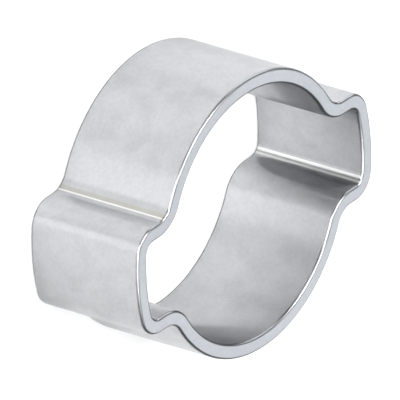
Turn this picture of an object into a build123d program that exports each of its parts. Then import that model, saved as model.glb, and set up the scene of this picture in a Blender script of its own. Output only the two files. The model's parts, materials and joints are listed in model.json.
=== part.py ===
"""Two-ear hose clamp.

One closed band of stainless steel, standing on its rim. The round part of the band grips the hose.
Two hollow ears stand opposite each other: pincers squeeze the legs of each ear together, which draws
the band tight. The band keeps the same wall all the way round, through the necks, legs and crowns.

Frame: the bore runs along Z and the ears point along +X and -X. The lower rim lies in the plane
Z = 0, with the origin on the bore's axis.
"""
import os
from math import sqrt

from build123d import *

# Driving dimensions of the open clamp, in millimetres
bore_diameter = 18.0  # inside the round part, before the ears are pinched
wall = 1.1  # thickness of the band
band_width = 9.0  # along the bore
ear_height = 2.9  # from the outside of the round part to the top of a crown
ear_width = 7.95  # across the two legs of an ear, outside
neck_radius = 1.55  # outside bend where the round part turns into a leg
ear_corner_radius = 1.9  # outside bend between a leg and the crown
crown_radius = 13.9  # shallow bow of the crown, outside
edge_rounding = 0.2  # tumbled edges of both rims

ring_radius = bore_diameter / 2 + wall


def band_outline(depth):
    """Outline of the band at this depth under its outer face: a circle crossed by a bow-ended bar."""
    circle_radius = ring_radius - depth
    bow_radius = crown_radius - depth
    leg_y = ear_width / 2 - depth
    crown_top = ring_radius + ear_height - depth
    corner_x = crown_top - bow_radius + sqrt(bow_radius**2 - leg_y**2)
    with BuildSketch() as outline:
        Circle(circle_radius)
        with BuildLine():
            upper_legs = Line((-corner_x, leg_y), (corner_x, leg_y))
            crown = RadiusArc(upper_legs @ 1, (corner_x, -leg_y), bow_radius)
            mirror(crown, about=Plane.YZ)
            mirror(upper_legs, about=Plane.XZ)
        make_face()
        necks = outline.vertices().group_by(SortBy.DISTANCE)[0]
        fillet(necks, neck_radius + depth)
        ear_corners = outline.vertices().group_by(SortBy.DISTANCE)[-1]
        fillet(ear_corners, ear_corner_radius - depth)
    return outline.sketch


with BuildPart() as clamp_band:
    with BuildSketch():
        add(band_outline(0))
        add(band_outline(wall), mode=Mode.SUBTRACT)
    extrude(amount=band_width)
    rims = clamp_band.faces().filter_by(Axis.Z)
    fillet(rims.edges(), edge_rounding)

clamp_band.part.label = "clamp_band"
os.makedirs("parts", exist_ok=True)
export_step(clamp_band.part, "parts/clamp_band.step")
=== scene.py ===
"""A two-ear hose clamp in tumbled stainless steel, set up for a studio picture.

The clamp is one closed band. Its section, a small rectangle with rounded corners, is swept once round
a quarter of the band by a chain of spins, as the strip is bent, and mirrored into the whole ring.
"""
import json
import math

import bmesh
import bpy
from mathutils import Euler, Matrix, Vector


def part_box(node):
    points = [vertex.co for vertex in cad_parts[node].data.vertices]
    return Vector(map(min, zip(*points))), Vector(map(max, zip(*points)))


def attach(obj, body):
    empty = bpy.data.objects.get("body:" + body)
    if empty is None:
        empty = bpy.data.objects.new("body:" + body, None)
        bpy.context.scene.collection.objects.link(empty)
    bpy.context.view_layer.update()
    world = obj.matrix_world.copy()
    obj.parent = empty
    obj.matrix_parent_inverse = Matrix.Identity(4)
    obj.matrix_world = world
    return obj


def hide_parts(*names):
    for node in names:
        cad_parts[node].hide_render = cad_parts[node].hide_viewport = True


bl_info = {
    "name": "Two-ear hose clamp",
    "version": (1, 0, 0),
    "blender": (4, 5, 0),
    "location": "3D View > Sidebar > Hose clamp",
    "description": "Builds a stainless two-ear hose clamp and the studio around it",
    "category": "Object",
}

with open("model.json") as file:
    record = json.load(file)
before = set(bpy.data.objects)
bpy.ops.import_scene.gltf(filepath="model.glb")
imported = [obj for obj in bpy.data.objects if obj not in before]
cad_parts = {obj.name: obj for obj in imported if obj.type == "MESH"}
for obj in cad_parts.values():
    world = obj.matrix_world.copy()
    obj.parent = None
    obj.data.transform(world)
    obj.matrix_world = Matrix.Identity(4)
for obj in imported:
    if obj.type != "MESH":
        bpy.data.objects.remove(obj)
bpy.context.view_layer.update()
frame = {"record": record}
BAND_LOW, BAND_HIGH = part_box("clamp_band")
GRIP = next(mount for mount in frame["record"]["mounts"] if mount["name"] == "hose_grip")
MM = 0.001

# How finely the section's rounded corners and the strip's bends are stepped
EDGE_STEPS = 10
RING_STEP = math.radians(2)
NECK_STEP = math.radians(4)
CORNER_STEP = math.radians(5)
CROWN_STEP = math.radians(2)
EDGE_MARGIN = 0.04 * MM
SAME_POINT = 1e-7
SEAM = 1e-6

# Noise patterns against the fine spots: how much coarser each one is, and how far a streak is drawn out
CLOUD_GRAIN = 0.25
PATCH_GRAIN = 0.03
STREAK_GRAIN = 0.8
STREAK_DRAW = 0.12
SPOT_RELIEF = 0.6

# Shares of the second colour that each mark mixes into the steel
CLOUD_SHARE = 0.05
SPOT_SHARE = 0.09
# Painted shade: share of the dull warm stripe beside each neck's painted highlight line
SHADE_STRIPE_SHARE = 0.6
# Painted shade on the rounded edges, which dulls their highlights
EDGE_SHADE_SHARE = 0.35
# Painted highlights: share of the light lines in the necks and the ear corners
HIGHLIGHT_LINE_SHARE = 0.85
PATCH_SHARE = 0.08

# The two painted highlight lines in an ear's corner and the gap between them, as shares of the corner line's
# width
FIRST_LINE = 0.85
LINE_GAP = 0.3
SECOND_LINE = 1.05

FLOOR_REACH = 4.0
WHITE = (1.0, 1.0, 1.0)
COOL = (0.91, 0.95, 1.0)
FAR_COOL = (0.92, 0.96, 1.0)


class ClampSizes(bpy.types.PropertyGroup):
    """Sizes of the open clamp. The frame gives the outer ones, and the bends are the strip's own."""

    bore_radius: bpy.props.FloatProperty(
        name="Bore radius",
        description="Inside of the round part, where the hose goes",
        default=GRIP["dims"]["r_mm"] * MM,
        unit="LENGTH",
    )
    wall: bpy.props.FloatProperty(
        name="Wall",
        description="Thickness of the band all the way round",
        default=BAND_HIGH.y - GRIP["dims"]["r_mm"] * MM,
        unit="LENGTH",
    )
    band_width: bpy.props.FloatProperty(
        name="Band width",
        description="Height of the band along the bore",
        default=BAND_HIGH.z - BAND_LOW.z,
        unit="LENGTH",
    )
    ear_reach: bpy.props.FloatProperty(
        name="Ear reach",
        description="From the middle of the bore to the top of a crown",
        default=BAND_HIGH.x,
        unit="LENGTH",
    )
    ear_width: bpy.props.FloatProperty(
        name="Ear width",
        description="Across the two legs of an ear, outside",
        default=7.95 * MM,
        unit="LENGTH",
    )
    neck_radius: bpy.props.FloatProperty(
        name="Neck radius",
        description="Outside bend where the round part turns into a leg",
        default=1.55 * MM,
        unit="LENGTH",
    )
    ear_corner_radius: bpy.props.FloatProperty(
        name="Ear corner radius",
        description="Outside bend between a leg and the crown",
        default=1.9 * MM,
        unit="LENGTH",
    )
    crown_radius: bpy.props.FloatProperty(
        name="Crown radius",
        description="Shallow bow of the crown, outside",
        default=13.9 * MM,
        unit="LENGTH",
    )
    edge_rounding: bpy.props.FloatProperty(
        name="Edge rounding",
        description="Tumbled edges of both rims",
        default=0.2 * MM,
        unit="LENGTH",
    )


class SteelFinish(bpy.types.PropertyGroup):
    """Colour and surface of the tumbled steel."""

    colour: bpy.props.FloatVectorProperty(
        name="Steel colour",
        description="Colour of the bare stainless steel",
        default=(0.480, 0.486, 0.500),
        size=3,
        subtype="COLOR",
        min=0.0,
        max=1.0,
    )
    # Also the colour of the painted highlight lines in the necks and the ear corners; in the fine spots and
    # the rim patches it is real polish
    polish_and_highlight_colour: bpy.props.FloatVectorProperty(
        name="Polished colour",
        description="Colour where tumbling or the press has polished the steel",
        default=(0.86, 0.858, 0.835),
        size=3,
        subtype="COLOR",
        min=0.0,
        max=1.0,
    )
    # Painted shade: the dull warm stripe beside each neck's painted highlight line
    neck_shade_colour: bpy.props.FloatVectorProperty(
        name="Stain colour",
        description="Colour of the faint stain beside the press lines",
        default=(0.42, 0.405, 0.345),
        size=3,
        subtype="COLOR",
        min=0.0,
        max=1.0,
    )
    # Painted shade on the rounded edges, which dulls their highlights; in the broad clouds this colour is
    # tone that varies at random
    cloud_and_edge_shade_colour: bpy.props.FloatVectorProperty(
        name="Edge colour",
        description="Duller colour mixed into the rounded edges and the broad clouds",
        default=(0.180, 0.183, 0.192),
        size=3,
        subtype="COLOR",
        min=0.0,
        max=1.0,
    )
    roughness: bpy.props.FloatProperty(
        name="Roughness",
        description="How far the satin faces spread a reflection",
        default=0.31,
        min=0.0,
        max=1.0,
        subtype="FACTOR",
    )
    rolled_grain: bpy.props.FloatProperty(
        name="Rolled grain",
        description="How much more a reflection spreads across the strip than along it",
        default=1.0,
        min=0.0,
        max=1.0,
        subtype="FACTOR",
    )
    edge_roughness: bpy.props.FloatProperty(
        name="Edge roughness",
        description="How far the tumbled rims spread a reflection",
        default=0.3,
        min=0.0,
        max=1.0,
        subtype="FACTOR",
    )
    mottle_size: bpy.props.FloatProperty(
        name="Mottle size",
        description="Size of the fine spots left by tumbling",
        default=0.25 * MM,
        unit="LENGTH",
    )
    mottle_depth: bpy.props.FloatProperty(
        name="Mottle depth",
        description="Depth of the fine spots left by tumbling",
        default=0.002 * MM,
        unit="LENGTH",
    )
    # Painted highlight: the light line along each neck
    neck_highlight_line: bpy.props.FloatProperty(
        name="Press line",
        description="Half the width of the burnished line that the press leaves in each neck",
        default=0.11 * MM,
        unit="LENGTH",
    )
    # Painted shade: the dull stripe beside each neck's painted highlight line
    neck_shade_stripe: bpy.props.FloatProperty(
        name="Press stripe",
        description="Width of the dull stripe beside each press line",
        default=0.5 * MM,
        unit="LENGTH",
    )
    # Painted highlights: the light lines inside each ear's corners
    corner_highlight_line: bpy.props.FloatProperty(
        name="Corner line",
        description="Width of the burnished lines across the inside of each ear's corners",
        default=0.42 * MM,
        unit="LENGTH",
    )
    # Where the first painted highlight line in each ear's corner starts
    corner_highlight_place: bpy.props.FloatProperty(
        name="Corner line place",
        description="How far past the end of a leg its first corner line starts",
        default=0.6 * MM,
        unit="LENGTH",
    )
    # Where each neck's painted highlight line lies
    neck_highlight_place: bpy.props.FloatProperty(
        name="Press line place",
        description="How far each press line lies from the middle of its neck, towards the ear",
        default=0.43 * MM,
        unit="LENGTH",
    )


class StudioSetup(bpy.types.PropertyGroup):
    """Floor, lights and camera."""

    floor_colour: bpy.props.FloatVectorProperty(
        name="Floor colour",
        description="Colour of the plain pale floor",
        default=(0.9, 0.9, 0.9),
        size=3,
        subtype="COLOR",
        min=0.0,
        max=1.0,
    )
    air_brightness: bpy.props.FloatProperty(
        name="Air brightness",
        description="Even light from all round the studio",
        default=0.1,
        min=0.0,
    )
    lens: bpy.props.FloatProperty(
        name="Lens",
        description="Focal length of the long studio lens",
        default=1620.0,
        subtype="DISTANCE_CAMERA",
    )
    camera_distance: bpy.props.FloatProperty(
        name="Camera distance",
        description="From the camera to the point that it looks at",
        default=1.21,
        unit="LENGTH",
    )
    camera_azimuth: bpy.props.FloatProperty(
        name="Camera azimuth",
        description="Direction of the camera round the bore axis, counted from +X",
        default=math.radians(146.10),
        subtype="ANGLE",
    )
    camera_elevation: bpy.props.FloatProperty(
        name="Camera elevation",
        description="Height of the camera above the floor, as an angle",
        default=math.radians(34.28),
        subtype="ANGLE",
    )
    camera_roll: bpy.props.FloatProperty(
        name="Camera roll",
        description="Turn of the camera about its own line of sight",
        default=math.radians(106.30),
        subtype="ANGLE",
    )
    camera_aim: bpy.props.FloatVectorProperty(
        name="Camera aim",
        description="Point that the camera looks at",
        default=(-0.149 * MM, -0.076 * MM, 4.381 * MM),
        size=3,
        subtype="XYZ",
        unit="LENGTH",
    )


def strip_places(sizes):
    """Each bend of the strip's middle line as its radius, centre and turn, and the straight leg's length."""
    half_wall = sizes.wall / 2
    ring = sizes.bore_radius + half_wall
    neck = sizes.neck_radius + half_wall
    corner = sizes.ear_corner_radius - half_wall
    bow = sizes.crown_radius - half_wall
    neck_y = sizes.ear_width / 2 - half_wall + neck
    neck_x = math.sqrt((ring + neck) ** 2 - neck_y**2)
    neck_turn = math.atan2(neck_x, neck_y)
    bow_x = sizes.ear_reach - half_wall - bow
    corner_y = sizes.ear_width / 2 - half_wall - corner
    corner_x = bow_x + math.sqrt((bow - corner) ** 2 - corner_y**2)
    bow_turn = math.atan2(corner_y, corner_x - bow_x)
    return {
        "ring": (ring, (0.0, 0.0), neck_turn),
        "neck": (neck, (neck_x, neck_y), neck_turn),
        "leg": corner_x - neck_x,
        "corner": (corner, (corner_x, corner_y), math.pi / 2 - bow_turn),
        "crown": (bow, (bow_x, 0.0), bow_turn),
    }


def strip_lengths(sizes):
    """Lengths along the strip from the middle of the round part to the ends of the ring, neck and leg."""
    places = strip_places(sizes)
    ring, _, ring_turn = places["ring"]
    neck, _, neck_turn = places["neck"]
    ring_end = ring * ring_turn
    neck_end = ring_end + neck * neck_turn
    return ring_end, neck_end, neck_end + places["leg"]


def end_verts(section):
    return [part for part in section if isinstance(part, bmesh.types.BMVert)]


def end_edges(section):
    return [part for part in section if isinstance(part, bmesh.types.BMEdge)]


def bend(bm, section, length, arc, way, step):
    """Bends the strip on round an arc in small steps, and returns its new end and its length so far."""
    radius, centre, turn = arc
    steps = max(1, math.ceil(turn / step))
    along = bm.verts.layers.float["along_strip"]
    for _ in range(steps):
        section = bmesh.ops.spin(
            bm,
            geom=section,
            cent=(*centre, 0.0),
            axis=(0.0, 0.0, 1.0),
            dvec=(0.0, 0.0, 0.0),
            angle=way * turn / steps,
            steps=1,
            use_merge=False,
            use_normal_flip=False,
            use_duplicate=False,
        )["geom_last"]
        length += radius * turn / steps
        for vert in end_verts(section):
            vert[along] = length
    return section, length


def rounded_section(bm, sizes):
    """The band's cross-section on the +Y side of the bore: a rectangle with rounded corners."""
    inner = sizes.bore_radius
    outer = inner + sizes.wall
    corners = [
        bm.verts.new((0.0, inner, 0.0)),
        bm.verts.new((0.0, outer, 0.0)),
        bm.verts.new((0.0, outer, sizes.band_width)),
        bm.verts.new((0.0, inner, sizes.band_width)),
    ]
    bm.faces.new(corners)
    bmesh.ops.bevel(
        bm,
        geom=corners,
        offset=sizes.edge_rounding,
        offset_type="OFFSET",
        segments=EDGE_STEPS,
        profile=0.5,
        affect="VERTICES",
        material=-1,
    )
    bmesh.ops.delete(bm, geom=list(bm.faces), context="FACES_ONLY")
    margin = sizes.edge_rounding + EDGE_MARGIN
    planes = [
        ((0.0, 0.0, margin), (0.0, 0.0, 1.0)),
        ((0.0, 0.0, sizes.band_width - margin), (0.0, 0.0, 1.0)),
        ((0.0, inner + margin, 0.0), (0.0, 1.0, 0.0)),
        ((0.0, outer - margin, 0.0), (0.0, 1.0, 0.0)),
    ]
    for point, normal in planes:
        bmesh.ops.bisect_plane(
            bm, geom=bm.verts[:] + bm.edges[:], plane_co=point, plane_no=normal, dist=SAME_POINT
        )
    under_face = bm.verts.layers.float["under_face"]
    for vert in bm.verts:
        vert[under_face] = outer - vert.co.y
    return bm.verts[:] + bm.edges[:]


def bend_quarter(bm, sizes):
    """Sweeps the section from the +Y side to the +X side: round part, neck, leg, corner and crown."""
    places = strip_places(sizes)
    section, length = rounded_section(bm, sizes), 0.0
    section, length = bend(bm, section, length, places["ring"], -1, RING_STEP)
    section, length = bend(bm, section, length, places["neck"], 1, NECK_STEP)
    leg = bmesh.ops.extrude_edge_only(bm, edges=end_edges(section))["geom"]
    section = end_verts(leg) + end_edges(leg)
    bmesh.ops.translate(bm, vec=(places["leg"], 0.0, 0.0), verts=end_verts(leg))
    length += places["leg"]
    along = bm.verts.layers.float["along_strip"]
    for vert in end_verts(leg):
        vert[along] = length
    section, length = bend(bm, section, length, places["corner"], -1, CORNER_STEP)
    bend(bm, section, length, places["crown"], -1, CROWN_STEP)


def band_mesh(sizes):
    """The whole band: the quarter mirrored across the ears and then along them."""
    bm = bmesh.new()
    bm.verts.layers.float.new("along_strip")
    bm.verts.layers.float.new("under_face")
    bend_quarter(bm, sizes)
    for axis in ("X", "Y"):
        bmesh.ops.mirror(
            bm,
            geom=bm.verts[:] + bm.edges[:] + bm.faces[:],
            matrix=Matrix(),
            merge_dist=SAME_POINT,
            axis=axis,
        )
    bmesh.ops.remove_doubles(bm, verts=bm.verts, dist=SEAM)
    bmesh.ops.recalc_face_normals(bm, faces=bm.faces)
    for face in bm.faces:
        face.smooth = True
    mesh = bpy.data.meshes.new("steel_band")
    bm.to_mesh(mesh)
    bm.free()
    return mesh


def node(tree, kind, inputs, **settings):
    """Adds a node, with its settings, and sets or links each named input."""
    made = tree.nodes.new(kind)
    for name, value in settings.items():
        setattr(made, name, value)
    for name, value in inputs.items():
        if isinstance(value, bpy.types.NodeSocket):
            tree.links.new(value, made.inputs[name])
        else:
            made.inputs[name].default_value = value
    return made


def calculate(tree, operation, first, second=0.0):
    return node(tree, "ShaderNodeMath", {0: first, 1: second}, operation=operation).outputs[0]


def eased(tree, value, from_low, from_high, to_low, to_high):
    """Turns one range into another, with an eased change between the ends."""
    ranges = {"From Min": from_low, "From Max": from_high, "To Min": to_low, "To Max": to_high}
    inputs = {"Value": value, **ranges}
    return node(tree, "ShaderNodeMapRange", inputs, interpolation_type="SMOOTHSTEP").outputs["Result"]


def mixed(tree, share, first, second):
    """Mixes two colours."""
    made = node(tree, "ShaderNodeMix", {"Factor": share}, data_type="RGBA", clamp_factor=True)
    for socket, colour in ((made.inputs[6], first), (made.inputs[7], second)):
        if isinstance(colour, bpy.types.NodeSocket):
            tree.links.new(colour, socket)
        else:
            socket.default_value = (*colour, 1.0)
    return made.outputs[2]


def noise(tree, place, scale, detail, roughness=0.5):
    inputs = {"Vector": place, "Scale": scale, "Detail": detail, "Roughness": roughness}
    return node(tree, "ShaderNodeTexNoise", inputs).outputs["Fac"]


def rim_masks(tree, place, sizes):
    """Where the surface is a rim, and where it is a rim's rounded edge, read from the height on the band."""
    height = node(tree, "ShaderNodeSeparateXYZ", {"Vector": place}).outputs["Z"]
    to_rim = calculate(tree, "MINIMUM", height, calculate(tree, "SUBTRACT", sizes.band_width, height))
    upright = calculate(tree, "SUBTRACT", 1.0, calculate(tree, "DIVIDE", to_rim, sizes.edge_rounding))
    rim = eased(tree, upright, 0.4, 0.95, 0.0, 1.0)
    turning = eased(tree, upright, 0.1, 0.5, 0.0, 1.0)
    not_flat = eased(tree, upright, 0.8, 0.99, 1.0, 0.0)
    return rim, calculate(tree, "MULTIPLY", turning, not_flat)


def neck_highlight_and_shade(tree, along, under, finish, sizes):
    """Painted highlight and painted shade outside each neck: a light line along the neck, and a dull warm
    stripe on its round side.
    """
    outside = eased(tree, under, sizes.edge_rounding / 4, sizes.edge_rounding, 1.0, 0.0)
    ring_end, neck_end, _ = strip_lengths(sizes)
    beside = calculate(tree, "SUBTRACT", (ring_end + neck_end) / 2 + finish.neck_highlight_place, along)
    away = calculate(tree, "ABSOLUTE", beside)
    line = eased(tree, away, finish.neck_highlight_line / 2, finish.neck_highlight_line, 1.0, 0.0)
    stripe = calculate(
        tree,
        "MULTIPLY",
        eased(tree, beside, 0.0, finish.neck_highlight_line, 0.0, 1.0),
        eased(tree, beside, finish.neck_shade_stripe, finish.neck_shade_stripe * 1.2, 1.0, 0.0),
    )
    return calculate(tree, "MULTIPLY", line, outside), calculate(tree, "MULTIPLY", stripe, outside)


def corner_lines(tree, along, under, finish, sizes):
    """Painted highlights inside each ear's corners: two light lines where the leg turns into the crown."""
    inside = eased(tree, under, sizes.wall - sizes.edge_rounding / 2, sizes.wall, 0.0, 1.0)
    _, _, leg_end = strip_lengths(sizes)
    first = leg_end + finish.corner_highlight_place
    second = first + (FIRST_LINE + LINE_GAP) * finish.corner_highlight_line
    lines = 0.0
    for start, share in ((first, FIRST_LINE), (second, SECOND_LINE)):
        half = share * finish.corner_highlight_line / 2
        away = calculate(tree, "ABSOLUTE", calculate(tree, "SUBTRACT", along, start + half))
        lines = calculate(tree, "MAXIMUM", lines, eased(tree, away, half * 0.6, half, 1.0, 0.0))
    return calculate(tree, "MULTIPLY", lines, inside)


def steel_material(finish, sizes):
    """Rolled and tumbled stainless steel, the same steel on every face, with painted highlight lines in the
    necks and ear corners, and painted shade beside the neck lines and on the rounded edges.
    """
    material = bpy.data.materials.new("tumbled_stainless_steel")
    material.use_nodes = True
    tree = material.node_tree
    shader = tree.nodes["Principled BSDF"]
    place = node(tree, "ShaderNodeTexCoord", {}).outputs["Object"]
    along = node(tree, "ShaderNodeAttribute", {}, attribute_name="along_strip").outputs["Fac"]
    under = node(tree, "ShaderNodeAttribute", {}, attribute_name="under_face").outputs["Fac"]
    rim, rounding = rim_masks(tree, place, sizes)
    # Painted highlight line and painted shade stripe in each neck
    line, stripe = neck_highlight_and_shade(tree, along, under, finish, sizes)
    # Painted highlight lines inside the ear corners, joined to the neck's painted highlight line
    line = calculate(tree, "MAXIMUM", line, corner_lines(tree, along, under, finish, sizes))

    # Tumbling leaves fine spots, broad clouds, patches on the rims and faint streaks along the bore
    fine = 1 / finish.mottle_size
    spots = noise(tree, place, fine, 2.0)
    clouds = noise(tree, place, CLOUD_GRAIN * fine, 1.0)
    patches = noise(tree, place, PATCH_GRAIN * fine, 1.0)
    drawn_out = node(tree, "ShaderNodeMapping", {"Vector": place, "Scale": (1.0, 1.0, STREAK_DRAW)})
    streaks = noise(tree, drawn_out.outputs["Vector"], STREAK_GRAIN * fine, 0.0)

    clouded = eased(tree, clouds, 0.35, 0.65, 0.0, CLOUD_SHARE)
    spotted = eased(tree, spots, 0.3, 0.7, 0.0, SPOT_SHARE)
    patched = calculate(tree, "MULTIPLY", eased(tree, patches, 0.35, 0.65, 0.0, PATCH_SHARE), rim)
    tone = mixed(tree, clouded, finish.colour, finish.cloud_and_edge_shade_colour)
    tone = mixed(tree, spotted, tone, finish.polish_and_highlight_colour)
    # Painted shade: the dull warm stripe beside each neck line
    tone = mixed(tree, calculate(tree, "MULTIPLY", stripe, SHADE_STRIPE_SHARE), tone, finish.neck_shade_colour)
    # Painted shade on the rounded edges, which dulls their highlights
    tone = mixed(tree, calculate(tree, "MULTIPLY", rounding, EDGE_SHADE_SHARE), tone, finish.cloud_and_edge_shade_colour)
    # Painted highlights: the light lines in the necks and the ear corners
    tone = mixed(tree, calculate(tree, "MULTIPLY", line, HIGHLIGHT_LINE_SHARE), tone, finish.polish_and_highlight_colour)
    tone = mixed(tree, patched, tone, finish.polish_and_highlight_colour)
    tree.links.new(tone, shader.inputs["Base Color"])

    # The rolled faces spread a reflection more across the strip than along it, and the rims don't
    satin = eased(tree, clouds, 0.3, 0.7, finish.roughness * 0.96, finish.roughness * 1.06)
    satin_or_rim = node(tree, "ShaderNodeMix", {"Factor": rim, 2: satin, 3: finish.edge_roughness})
    tree.links.new(satin_or_rim.outputs[0], shader.inputs["Roughness"])
    tree.links.new(eased(tree, rim, 0.0, 1.0, finish.rolled_grain, 0.0), shader.inputs["Anisotropic"])
    bore_way = node(tree, "ShaderNodeCombineXYZ", {"Z": 1.0}).outputs["Vector"]
    across = node(
        tree,
        "ShaderNodeVectorTransform",
        {"Vector": bore_way},
        vector_type="VECTOR",
        convert_from="OBJECT",
        convert_to="WORLD",
    )
    tree.links.new(across.outputs["Vector"], shader.inputs["Tangent"])
    relief = calculate(tree, "ADD", calculate(tree, "MULTIPLY", spots, SPOT_RELIEF), streaks)
    bump = node(tree, "ShaderNodeBump", {"Strength": 1.0, "Distance": finish.mottle_depth, "Height": relief})
    tree.links.new(bump.outputs["Normal"], shader.inputs["Normal"])
    shader.inputs["Metallic"].default_value = 1.0
    return material


class CLAMP_OT_build_band(bpy.types.Operator):
    """Build the steel band with its two ears"""

    bl_idname = "clamp.build_band"
    bl_label = "Build the band"

    def execute(self, context):
        sizes = context.scene.clamp_sizes
        band = bpy.data.objects.new("steel_band", band_mesh(sizes))
        context.collection.objects.link(band)
        band.data.materials.append(steel_material(context.scene.clamp_finish, sizes))
        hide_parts("clamp_band")
        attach(band, "root")
        return {"FINISHED"}


def soft_box(context, name, azimuth, elevation, size, brightness, colour=WHITE):
    """A soft light a metre from the clamp, facing it. Its brightness is that of its own face."""
    light = bpy.data.lights.new(name, "AREA")
    light.shape = "RECTANGLE"
    light.size, light.size_y = size
    light.energy = math.pi * light.size * light.size_y * brightness
    light.color = colour
    lamp = bpy.data.objects.new(name, light)
    side = math.radians(azimuth)
    rise = math.radians(elevation)
    towards = Vector((math.cos(side) * math.cos(rise), math.sin(side) * math.cos(rise), math.sin(rise)))
    lamp.location = towards
    lamp.rotation_euler = towards.to_track_quat("Z", "Y").to_euler()
    lamp.visible_camera = False
    context.collection.objects.link(lamp)
    return lamp


def lay_floor(context, studio):
    """A plain pale floor that runs far past the clamp."""
    bm = bmesh.new()
    bmesh.ops.create_grid(bm, x_segments=1, y_segments=1, size=FLOOR_REACH)
    mesh = bpy.data.meshes.new("floor")
    bm.to_mesh(mesh)
    bm.free()
    floor = bpy.data.objects.new("floor", mesh)
    context.collection.objects.link(floor)
    paint = bpy.data.materials.new("pale_floor")
    paint.use_nodes = True
    shader = paint.node_tree.nodes["Principled BSDF"]
    shader.inputs["Base Color"].default_value = (*studio.floor_colour, 1.0)
    shader.inputs["Roughness"].default_value = 1.0
    shader.inputs["Specular IOR Level"].default_value = 0.0
    mesh.materials.append(paint)


def light_studio(context, studio):
    """Even air, strong boxes above the clamp, and low cool ones that its far side and rims mirror."""
    world = bpy.data.worlds.new("studio_air")
    world.use_nodes = True
    air = world.node_tree.nodes["Background"]
    air.inputs["Color"].default_value = (*WHITE, 1.0)
    air.inputs["Strength"].default_value = studio.air_brightness
    context.scene.world = world
    soft_box(context, "key_box", 150, 50, (0.36, 0.36), 13.0)
    soft_box(context, "side_box", 180, 50, (0.36, 0.36), 4.9)
    soft_box(context, "left_box", 210, 50, (0.36, 0.36), 3.6)
    soft_box(context, "high_box", 60, 70, (0.40, 0.40), 14.2)
    soft_box(context, "top_box", 240, 70, (0.40, 0.40), 5.6)
    soft_box(context, "far_low_box", 40, 20, (0.70, 0.26), 4.0, FAR_COOL)
    soft_box(context, "rim_box", 320, 34, (0.30, 0.30), 1.8, COOL)
    soft_box(context, "back_box", 340, 34, (0.30, 0.30), 1.5, COOL)


def set_camera(context, studio):
    """A long lens that looks down on the clamp, rolled about its own line of sight."""
    camera_data = bpy.data.cameras.new("studio_camera")
    camera_data.lens = studio.lens
    camera_data.clip_end = 100.0
    camera = bpy.data.objects.new("studio_camera", camera_data)
    side, rise = studio.camera_azimuth, studio.camera_elevation
    back = Vector((math.cos(side) * math.cos(rise), math.sin(side) * math.cos(rise), math.sin(rise)))
    camera.location = Vector(studio.camera_aim) + back * studio.camera_distance
    level = back.to_track_quat("Z", "Y")
    camera.rotation_mode = "QUATERNION"
    camera.rotation_quaternion = level @ Euler((0, 0, studio.camera_roll)).to_quaternion()
    context.collection.objects.link(camera)
    context.scene.camera = camera
    context.scene.view_settings.view_transform = "Standard"


class CLAMP_OT_build_stage(bpy.types.Operator):
    """Lay the pale floor, hang the soft lights and set up the camera"""

    bl_idname = "clamp.build_stage"
    bl_label = "Build the stage"

    def execute(self, context):
        studio = context.scene.clamp_studio
        lay_floor(context, studio)
        light_studio(context, studio)
        set_camera(context, studio)
        return {"FINISHED"}


class CLAMP_PT_panel(bpy.types.Panel):
    """Lists the clamp's sizes, its finish and the studio"""

    bl_idname = "CLAMP_PT_panel"
    bl_label = "Two-ear hose clamp"
    bl_space_type = "VIEW_3D"
    bl_region_type = "UI"
    bl_category = "Hose clamp"

    def draw(self, context):
        layout = self.layout
        scene = context.scene
        for group in (scene.clamp_sizes, scene.clamp_finish, scene.clamp_studio):
            box = layout.box()
            for name in group.bl_rna.properties.keys():
                if name not in ("rna_type", "name"):
                    box.prop(group, name)
        layout.operator(CLAMP_OT_build_band.bl_idname)
        layout.operator(CLAMP_OT_build_stage.bl_idname)


CLASSES = (ClampSizes, SteelFinish, StudioSetup, CLAMP_OT_build_band, CLAMP_OT_build_stage, CLAMP_PT_panel)


def register():
    for cls in CLASSES:
        bpy.utils.register_class(cls)
    bpy.types.Scene.clamp_sizes = bpy.props.PointerProperty(type=ClampSizes)
    bpy.types.Scene.clamp_finish = bpy.props.PointerProperty(type=SteelFinish)
    bpy.types.Scene.clamp_studio = bpy.props.PointerProperty(type=StudioSetup)


def unregister():
    del bpy.types.Scene.clamp_studio
    del bpy.types.Scene.clamp_finish
    del bpy.types.Scene.clamp_sizes
    for cls in reversed(CLASSES):
        bpy.utils.unregister_class(cls)


def main():
    register()
    bpy.ops.clamp.build_band()
    bpy.ops.clamp.build_stage()


if __name__ == "__main__":
    main()
